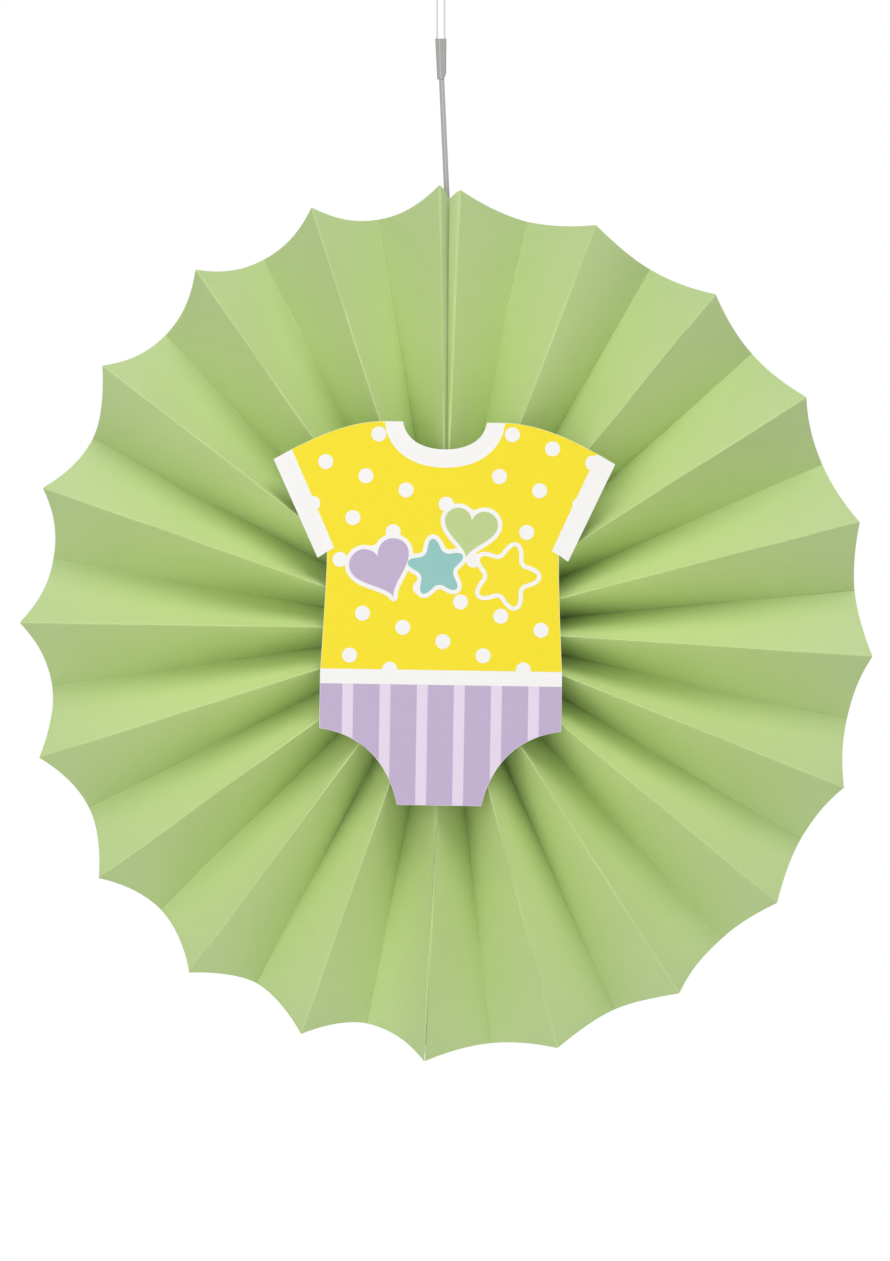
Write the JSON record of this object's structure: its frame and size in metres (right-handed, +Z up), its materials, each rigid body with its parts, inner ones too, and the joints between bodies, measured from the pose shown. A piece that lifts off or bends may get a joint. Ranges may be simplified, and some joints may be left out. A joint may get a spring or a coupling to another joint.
{
  "type": "hanging paper fan rosette",
  "caption": "Round pleated paper fan decoration with scalloped rim, a die-cut baby vest card on its centre and a strap with a thread loop to hang it by.",
  "frame": {"origin": "top of the thread loop's inside, where a hook carries it", "axes": "+Z up, +X to the right seen from the front, and the printed card faces -Y"},
  "size_m": [0.4003, 0.0402, 0.5111],
  "materials": {
    "green_paper": "matte, faint fibre",
    "adhesive": "matte",
    "disc_board": "matte",
    "pad_foam": "matte foam",
    "card_stock": "printed, low sheen",
    "grey_strap": "matte",
    "grey_crimp": "satin",
    "clear_thread": "clear, glossy"
  },
  "bodies": {
    "root": {"pleated_sheet_left": "green_paper", "pleated_sheet_right": "green_paper", "seam_adhesive": "adhesive", "joint_adhesive": "adhesive", "front_disc": "disc_board", "back_disc": "disc_board", "foam_pad_upper_left": "pad_foam", "foam_pad_upper_right": "pad_foam", "foam_pad_lower_left": "pad_foam", "foam_pad_lower_right": "pad_foam", "vest_card": "card_stock", "hanging_strap": "grey_strap", "crimp_sleeve": "grey_crimp", "thread_loop": "clear_thread"}
  },
  "joints": []
}
